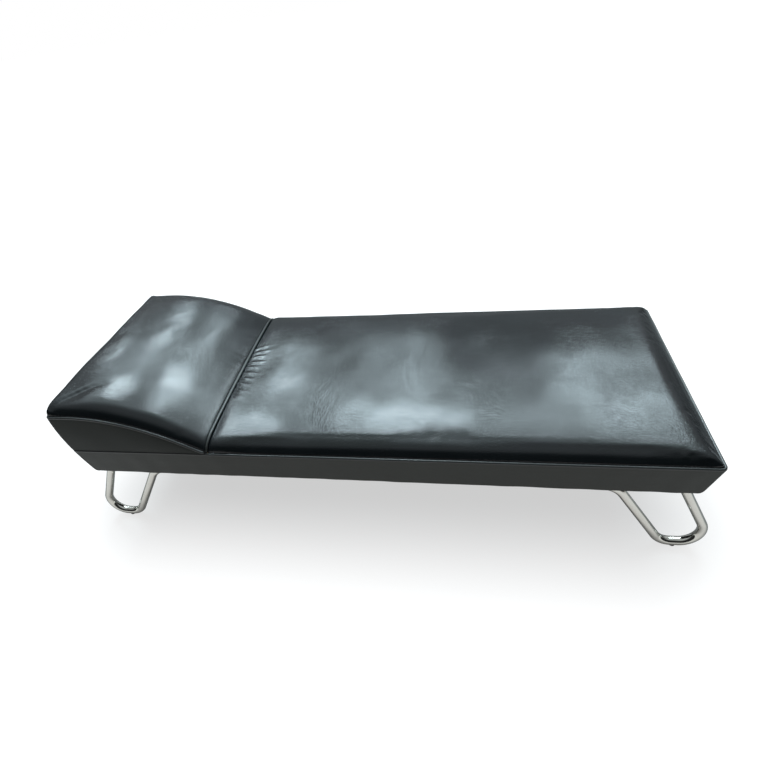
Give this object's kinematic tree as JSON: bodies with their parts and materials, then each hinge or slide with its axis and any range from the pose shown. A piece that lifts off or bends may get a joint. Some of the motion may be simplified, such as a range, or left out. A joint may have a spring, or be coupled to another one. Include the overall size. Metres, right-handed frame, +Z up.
{
  "type": "recovery couch",
  "caption": "Long padded vinyl bench with a fixed raised head wedge and bent chrome tube legs, for lying down.",
  "frame": {"origin": "on the floor, below the middle of the couch", "axes": "+X along the couch from the head end to the foot end, +Y towards the back side, +Z up"},
  "size_m": [1.9064, 0.7046, 0.5359],
  "materials": {
    "vinyl_black": "semi-gloss black upholstery vinyl, fine grain and light creasing",
    "piping_black": "semi-gloss black vinyl piping",
    "chrome_tube": "bright chrome plate",
    "zinc_steel": "zinc-plated steel",
    "hardwood": "planed unfinished hardwood",
    "plywood": "sanded plywood",
    "hardboard": "smooth brown hardboard",
    "foam": "open-cell upholstery foam",
    "cambric_black": "matte black dust cloth",
    "nylon_grey": "grey moulded nylon",
    "plastic_black": "black moulded plastic"
  },
  "bodies": {
    "root": {"front_rail": "hardwood", "back_rail": "hardwood", "head_rail": "hardwood", "foot_rail": "hardwood", "cross_rail_1": "hardwood", "cross_rail_2": "hardwood", "cross_rail_3": "hardwood", "corner_blocks": "hardwood", "leg_blocks": "hardwood", "frame_screws": "zinc_steel", "plate_screws": "zinc_steel", "leg_bolts": "zinc_steel", "leg_plates": "zinc_steel", "staples": "zinc_steel", "seat_deck": "plywood", "wedge_rib_front": "plywood", "wedge_rib_middle": "plywood", "wedge_rib_back": "plywood", "wedge_head_board": "plywood", "wedge_deck": "hardboard", "seat_foam": "foam", "wedge_foam": "foam", "seat_cover": "vinyl_black", "wedge_cover": "vinyl_black", "wedge_front_panel": "vinyl_black", "wedge_back_panel": "vinyl_black", "wedge_end_panel": "vinyl_black", "front_band": "vinyl_black", "back_band": "vinyl_black", "head_band": "vinyl_black", "foot_band": "vinyl_black", "base_welt": "piping_black", "wedge_welt": "piping_black", "junction_welt": "piping_black", "dust_cover": "cambric_black", "leg_head_front": "chrome_tube", "leg_head_back": "chrome_tube", "leg_foot_front": "chrome_tube", "leg_foot_back": "chrome_tube", "leg_plugs": "plastic_black", "floor_glides": "nylon_grey"}
  },
  "joints": []
}
